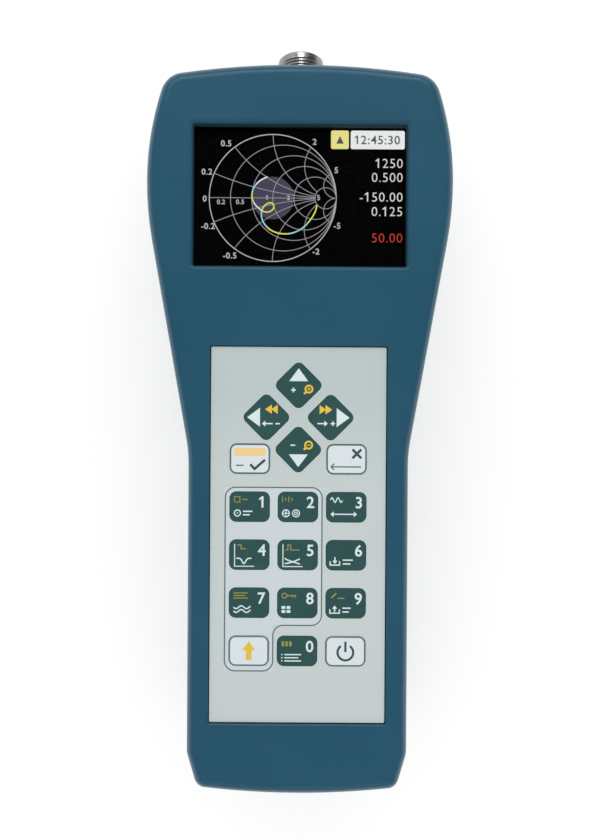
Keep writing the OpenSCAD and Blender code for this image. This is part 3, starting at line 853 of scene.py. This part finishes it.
def between(tree, value, low, high):
    """1 where a coordinate lies between two places, in millimetres from the film's middle."""
    return calc(
        tree, "MULTIPLY", calc(tree, "GREATER_THAN", value, low * mm),
        calc(tree, "LESS_THAN", value, high * mm)
    )


def ink_finish(name, tint, drift):
    """Screen-printed ink, a little uneven."""
    return finish(name, tint, drift=drift, rough=0.5, grain=0.0002, relief=0.000001)


tree = film_finish.node_tree
place = object_place(tree)
across = calc(tree, "SUBTRACT", place.outputs["X"], film_mid.x)
along = calc(tree, "SUBTRACT", place.outputs["Y"], film_mid.y)
upper_zone = calc(
    tree, "MULTIPLY", between(tree, across, left, right), between(tree, along, step_y, top)
)
lower_zone = calc(
    tree, "MULTIPLY", between(tree, across, left, step_x), between(tree, along, bottom, step_y)
)
shader = tree.nodes["Principled BSDF"]
pale_print = shader.inputs["Base Color"].links[0].from_socket
zone_print = mix_colour(
    tree, calc(tree, "ADD", upper_zone, lower_zone), pale_print, colour(206, 216, 220)
)
# Painted shade: the film's colour grows a little darker towards its top end.
top_shade_share = to_range(tree, along, 15 * mm, 45 * mm, 0.0, 1.0)
wire(
    tree, mix_colour(tree, top_shade_share, zone_print, colour(189, 202, 201)),
    shader.inputs["Base Color"]
)
line_grey = ink_finish("grey_ink", colour(90, 112, 113), 0.04)


def corner_arc(x, y, r, start, end):
    """Points round one corner of the area, from its centre in millimetres."""
    return circle(film_mid.x + x * mm, film_mid.y + y * mm, r * mm, 8, start, end)


r = zone_corner
zone = bmesh.new()
add_stroke(
    zone,
    corner_arc(left + r, top - r, r, 180, 90) + corner_arc(right - r, top - r, r, 90, 0)
    + corner_arc(right - r, step_y + r, r, 0, -90)
    + corner_arc(step_x + r, step_y - r, r, 90, 180)
    + corner_arc(step_x - r, bottom + r, r, 0, -90)
    + corner_arc(left + r, bottom + r, r, -90, -180),
    print_line * mm, film_high.z, closed=True
)
make_piece("key_group_line", zone, line_grey, "case")

# ---- Keys ----
# Eighteen moulded caps stand just proud of the film, each on its own snap dome. The dark ones
# are printed in white, yellow and olive, and the pale ones have a grey line round them.
dark_finish = finish(
    "dark_key", colour(37, 85, 84), drift=0.05, rough=0.45, grain=0.00025, clouds=0.008,
    relief=0.000004
)
pale_finish = finish(
    "pale_key", colour(220, 229, 232), drift=0.015, rough=0.45, grain=0.00025, clouds=0.008,
    relief=0.000004
)
inks = {
    "white": ink_finish("white_ink", colour(220, 234, 234), 0.02),
    "yellow": ink_finish("yellow_ink", colour(236, 196, 60), 0.03),
    "olive": ink_finish("olive_ink", colour(150, 150, 66), 0.05),
    "orange": ink_finish("orange_ink", colour(243, 210, 146), 0.02),
    "slate": ink_finish("slate_ink", colour(58, 80, 86), 0.03),
    "grey": line_grey
}
digit_right, digit_mid, digit_cap = 5.35 * mm, 1.55 * mm, 3.55 * mm
layer = 0.001 * mm

# The marks of each key, in millimetres from its middle: a plate has its corners, a line its
# points and width, a ring its centre, radius and width, an arc also its two angles, and a box
# its two corners and rounding. The drawn curves stand for a measured sweep.
wave = [(-5.0 + 0.15 * i, 2.3 + 0.75 * math.sin(0.15 * i * 2 * math.pi / 1.9)) for i in range(26)]
dip = [(-4.1 + 0.2 * i, -1.1 - 1.7 * math.exp(-((0.2 * i - 2.4) / 0.75) ** 2)) for i in range(25)]
rise = [(-4.1 + 0.2 * i, -2.7 + 1.5 * (0.2 * i / 4.8) ** 1.6) for i in range(25)]
fall = [(-4.1 + 0.2 * i, -1.0 - 1.8 * (0.2 * i / 4.8) ** 0.7) for i in range(25)]
ripple = [(-4.9 + 0.2 * i, -1.4 - 0.45 * math.sin(0.2 * i * 1.9)) for i in range(28)]
ripple_low = [(x, y - 1.2) for x, y in ripple]
axes = [("line", [(-4.65, 3.45), (-4.65, -3.64), (1.6, -3.64)], 0.3)]
marks_of = {
    "up": {
        "white": [
            ("plate", [(-3, 1.3), (3, 1.3), (0, 5.4)]),
            ("line", [(-2.4, -1.5), (-0.9, -1.5)], 0.42),
            ("line", [(-1.65, -2.25), (-1.65, -0.75)], 0.42)
        ],
        "yellow": [
            ("ring", 3.26, -1.18, 1.12, 0.56), ("line", [(2.5, -1.95), (1.75, -2.65)], 0.7),
            ("line", [(2.75, -1.18), (3.77, -1.18)], 0.3),
            ("line", [(3.26, -1.69), (3.26, -0.67)], 0.3)
        ]
    },
    "down": {
        "white": [
            ("plate", [(3, -1.5), (-3, -1.5), (0, -5.5)]),
            ("line", [(-2.5, 1.4), (-1.0, 1.4)], 0.42)
        ],
        "yellow": [
            ("ring", 3.26, 1.46, 1.12, 0.56), ("line", [(2.5, 0.7), (1.75, 0.0)], 0.7),
            ("line", [(2.75, 1.46), (3.77, 1.46)], 0.3)
        ]
    },
    "left": {
        "white": [
            ("plate", [(-6.05, 0), (-2, -3), (-2, 3)]),
            ("line", [(2.9, -2.0), (4.3, -2.0)], 0.42),
            ("line", [(-0.9, -2.0), (2.0, -2.0)], 0.42),
            ("plate", [(-1.4, -2.0), (-0.3, -2.9), (-0.3, -1.1)])
        ],
        "yellow": [
            ("plate", [(-0.45, 2.55), (1.75, 1.08), (1.75, 4.02)]),
            ("plate", [(1.55, 2.55), (3.6, 1.08), (3.6, 4.02)])
        ]
    },
    "right": {
        "white": [
            ("plate", [(6.0, 0), (1.9, 3), (1.9, -3)]),
            ("line", [(0.0, -1.9), (1.4, -1.9)], 0.42),
            ("line", [(0.7, -2.6), (0.7, -1.2)], 0.42),
            ("line", [(-4.2, -1.9), (-1.6, -1.9)], 0.42),
            ("plate", [(-0.9, -1.9), (-2.0, -1.0), (-2.0, -2.8)])
        ],
        "yellow": [
            ("plate", [(0.5, 2.5), (-1.65, 3.97), (-1.65, 1.03)]),
            ("plate", [(-1.45, 2.5), (-3.5, 3.97), (-3.5, 1.03)])
        ]
    },
    "ok": {
        "orange": [("box", -4.9, 0.9, 4.9, 3.4, 0.3)],
        "slate": [("line", [(0.1, -1.74), (1.5, -3.2), (4.8, -0.3)], 0.8)],
        "grey": [("line", [(-4.4, -2.1), (-2.0, -2.1)], 0.42)]
    },
    "cancel": {
        "slate": [
            ("line", [(1.85, 0.35), (4.65, 3.15)], 0.8),
            ("line", [(1.85, 3.15), (4.65, 0.35)], 0.8)
        ],
        "grey": [
            ("line", [(-4.9, -2.4), (4.6, -2.4)], 0.4),
            ("line", [(-3.9, -1.4), (-4.9, -2.4), (-3.9, -3.4)], 0.4)
        ]
    },
    "1": {
        "white": [
            ("ring", -3.85, -2.0, 0.95, 0.36), ("box", -4.05, -2.2, -3.65, -1.8, 0.15),
            ("line", [(-2.1, -1.45), (0.9, -1.45)], 0.42),
            ("line", [(-2.1, -2.55), (0.1, -2.55)], 0.42)
        ],
        "olive": [
            ("line", [(-4.8, 1.5), (-4.8, 3.2), (-3.1, 3.2), (-3.1, 1.5), (-4.95, 1.5)], 0.3),
            ("line", [(-2.3, 2.3), (-0.6, 2.3)], 0.34)
        ]
    },
    "2": {
        "white": [
            ("ring", -3.8, -2.0, 1.1, 0.34), ("line", [(-4.9, -2.0), (-2.7, -2.0)], 0.28),
            ("line", [(-3.8, -3.1), (-3.8, -0.9)], 0.28), ("ring", -0.6, -2.0, 1.1, 0.34),
            ("ring", -0.6, -2.0, 0.45, 0.3)
        ],
        "olive": [
            ("line", [(-4.9, 1.5), (-4.9, 3.3)], 0.32),
            ("line", [(-3.9, 1.9), (-3.9, 2.9)], 0.32),
            ("line", [(-2.9, 1.5), (-2.9, 3.3)], 0.32),
            ("line", [(-1.9, 1.9), (-1.9, 2.9)], 0.32)
        ]
    },
    "3": {
        "white": [
            ("line", wave, 0.34), ("line", [(-4.3, -2.2), (2.6, -2.2)], 0.38),
            ("plate", [(-5.0, -2.2), (-4.0, -3.1), (-4.0, -1.3)]),
            ("plate", [(3.4, -2.2), (2.4, -1.3), (2.4, -3.1)])
        ]
    },
    "4": {
        "white": [*axes, ("line", dip, 0.4)],
        "olive": [("line", [(-3.9, 3.1), (-2.6, 3.1), (-2.6, 1.9), (-1.0, 1.9)], 0.34)]
    },
    "5": {
        "white": [*axes, ("line", rise, 0.4), ("line", fall, 0.4)],
        "olive": [(
            "line", [(-3.9, 1.6), (-3.1, 1.6), (-3.1, 3.2), (-2.2, 3.2), (-2.2, 1.6), (0.6, 1.6)],
            0.34
        )]
    },
    "6": {
        "white": [
            ("line", [(-5.0, -1.9), (-5.0, -3.1), (-2.0, -3.1), (-2.0, -1.9)], 0.38),
            ("line", [(-3.5, -0.6), (-3.5, -1.8)], 0.42),
            ("plate", [(-3.5, -2.7), (-2.7, -1.7), (-4.3, -1.7)]),
            ("line", [(-1.0, -1.5), (2.2, -1.5)], 0.42),
            ("line", [(-1.0, -2.7), (1.4, -2.7)], 0.42)
        ]
    },
    "7": {
        "white": [("line", ripple, 0.4), ("line", ripple_low, 0.4)],
        "olive": [
            ("line", [(-4.9, 3.1), (-0.4, 3.1)], 0.34),
            ("line", [(-4.9, 2.3), (-1.2, 2.3)], 0.34),
            ("line", [(-4.9, 1.5), (-0.4, 1.5)], 0.34)
        ]
    },
    "8": {
        "white": [
            ("box", -5.0, -1.85, -3.8, -0.95, 0.12), ("box", -3.4, -1.85, -2.2, -0.95, 0.12),
            ("box", -5.0, -3.1, -3.8, -2.2, 0.12), ("box", -3.4, -3.1, -2.2, -2.2, 0.12)
        ],
        "olive": [
            ("ring", -4.1, 2.35, 0.75, 0.36), ("line", [(-3.3, 2.35), (-0.4, 2.35)], 0.4),
            ("line", [(-0.6, 1.7), (-0.6, 2.5)], 0.34),
            ("line", [(-1.5, 1.8), (-1.5, 2.5)], 0.34)
        ]
    },
    "9": {
        "white": [
            ("line", [(-5.0, -1.9), (-5.0, -3.1), (-2.0, -3.1), (-2.0, -1.9)], 0.38),
            ("line", [(-3.5, -1.6), (-3.5, -2.7)], 0.42),
            ("plate", [(-4.3, -1.7), (-2.7, -1.7), (-3.5, -0.7)]),
            ("line", [(-1.0, -1.5), (1.6, -1.5)], 0.42),
            ("line", [(-1.0, -2.7), (1.0, -2.7)], 0.42)
        ],
        "olive": [
            ("line", [(-4.6, 1.7), (-3.0, 3.2)], 0.5),
            ("line", [(-2.6, 1.6), (-0.4, 1.6)], 0.34)
        ]
    },
    "0": {
        "white": [
            ("line", [(-4.0, -1.1), (1.3, -1.1)], 0.38),
            ("line", [(-4.0, -2.1), (0.4, -2.1)], 0.38),
            ("line", [(-4.0, -3.1), (1.3, -3.1)], 0.38), ("box", -5.0, -1.3, -4.6, -0.9, 0.1),
            ("box", -5.0, -2.3, -4.6, -1.9, 0.1), ("box", -5.0, -3.3, -4.6, -2.9, 0.1)
        ],
        "olive": [
            ("box", -4.9, 1.5, -4.1, 3.1, 0.1), ("box", -3.7, 1.5, -2.9, 3.1, 0.1),
            ("box", -2.5, 1.5, -1.7, 3.1, 0.1)
        ]
    },
    "function": {
        "yellow": [("plate", [
            (-0.9, -2.9), (0.9, -2.9), (0.9, 0.2), (2.1, 0.2), (0, 3.0), (-2.1, 0.2), (-0.9, 0.2)
        ])]
    },
    "power": {
        "slate": [("arc", 0, -0.35, 2.48, 0.7, 125, 415), ("line", [(0, -0.2), (0, 3.1)], 0.7)]
    }
}
for key, marks in marks_of.items():
    node = "key_" + key
    body = node + "_button"
    low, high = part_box(node)
    x, y, z = (low.x + high.x) / 2, (low.y + high.y) / 2, high.z
    pale = key in ("ok", "cancel", "function", "power")
    dress(node, pale_finish if pale else dark_finish, 0.00012)
    if pale:
        marks.setdefault("grey", []).append(("frame", 6.08, 4.5, 1.9, print_line))
    for tint, shapes in marks.items():
        sheet = bmesh.new()
        for level, shape in enumerate(shapes):
            kind, values = shape[0], shape[1:]
            at = z + level * layer
            if kind == "plate":
                add_plate(sheet, [(x + px * mm, y + py * mm) for px, py in values[0]], at)
            elif kind == "box":
                x0, y0, x1, y1, r = (v * mm for v in values)
                add_plate(sheet, rounded_box(x + x0, y + y0, x + x1, y + y1, r, 4), at)
            elif kind == "line":
                line = [(x + px * mm, y + py * mm) for px, py in values[0]]
                add_stroke(sheet, line, values[1] * mm, at)
            elif kind == "ring":
                cx, cy, r, w = (v * mm for v in values)
                add_stroke(sheet, circle(x + cx, y + cy, r, 32), w, at, closed=True)
            elif kind == "arc":
                cx, cy, r, w = (v * mm for v in values[:4])
                add_stroke(sheet, circle(x + cx, y + cy, r, 40, *values[4:]), w, at)
            elif kind == "frame":
                half_w, half_h, r, w = (v * mm for v in values)
                line = rounded_box(x - half_w, y - half_h, x + half_w, y + half_h, r)
                add_stroke(sheet, line, w, at, closed=True)
        if tint == "white" and key.isdigit():
            add_digits(
                sheet, key, x + digit_right, y + digit_mid, digit_cap, z, align=1.0, bold=0.016
            )
        make_piece(f"{node}_print_{tint}", sheet, inks[tint], body)

# ---- Keypad backing and domes ----
# A grey moulded plate under the film guides the caps. Stamped steel domes on the board give
# each key its click.
dress("keypad_backing", finish("grey_moulding", colour(146, 153, 150), rough=0.6), 0.0001)
dress("snap_domes", finish("dome_steel", colour(214, 214, 214), rough=0.25, Metallic=1.0), 0)

# ---- USB socket ----
# A folded steel shell with a white nylon tongue in it, soldered to the tail of the key board.
# Its mouth opens at the bottom end of the case.
socket_finish = finish(
    "plated_steel", colour(196, 198, 201), rough=0.28, stretch=(1, 5, 1), Metallic=1.0
)
dress("usb_socket", socket_finish, 0.0002)
dress("usb_tongue", finish("white_nylon", colour(236, 236, 232), drift=0.02, rough=0.5), 0.0002)

# ---- Cells, contact plates and springs ----
# Three wrapped cells lie side by side in the grip, between stamped contact plates. Each is
# held by a coil spring at its flat end.
cell_low, cell_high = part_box("battery_cells")
bare_length = 1.2 * mm
cell_finish = finish("cell_wrap", colour(56, 60, 64), drift=0.05, rough=0.35, relief=0.000002)
tree = cell_finish.node_tree
cell_mid_y = (cell_low.y + cell_high.y) / 2
from_middle = calc(
    tree, "ABSOLUTE", calc(tree, "SUBTRACT", object_place(tree).outputs["Y"], cell_mid_y)
)
bare_end = calc(tree, "GREATER_THAN", from_middle, cell_high.y - cell_mid_y - bare_length)
shader = tree.nodes["Principled BSDF"]
wrap = shader.inputs["Base Color"].links[0].from_socket
wire(tree, mix_colour(tree, bare_end, wrap, colour(200, 200, 198)), shader.inputs["Base Color"])
wire(tree, bare_end, shader.inputs["Metallic"])
dress("battery_cells", cell_finish, 0.0003)
spring_steel = finish("spring_steel", colour(205, 206, 207), rough=0.25, Metallic=1.0)
dress("battery_contacts", spring_steel, 0)
dress("battery_springs", spring_steel, 0)

# ---- Screws ----
# Blackened steel screws with a cross recess close the case and the battery cover. Small zinc
# ones hold the boards.
black_steel = finish("blackened_steel", colour(62, 65, 68), rough=0.35, Metallic=1.0)
dress("case_screws", black_steel, 0.0002)
dress("cover_screws", black_steel, 0.0002)
dress("board_screws", finish("zinc", colour(186, 189, 191), rough=0.3, Metallic=1.0), 0.0001)
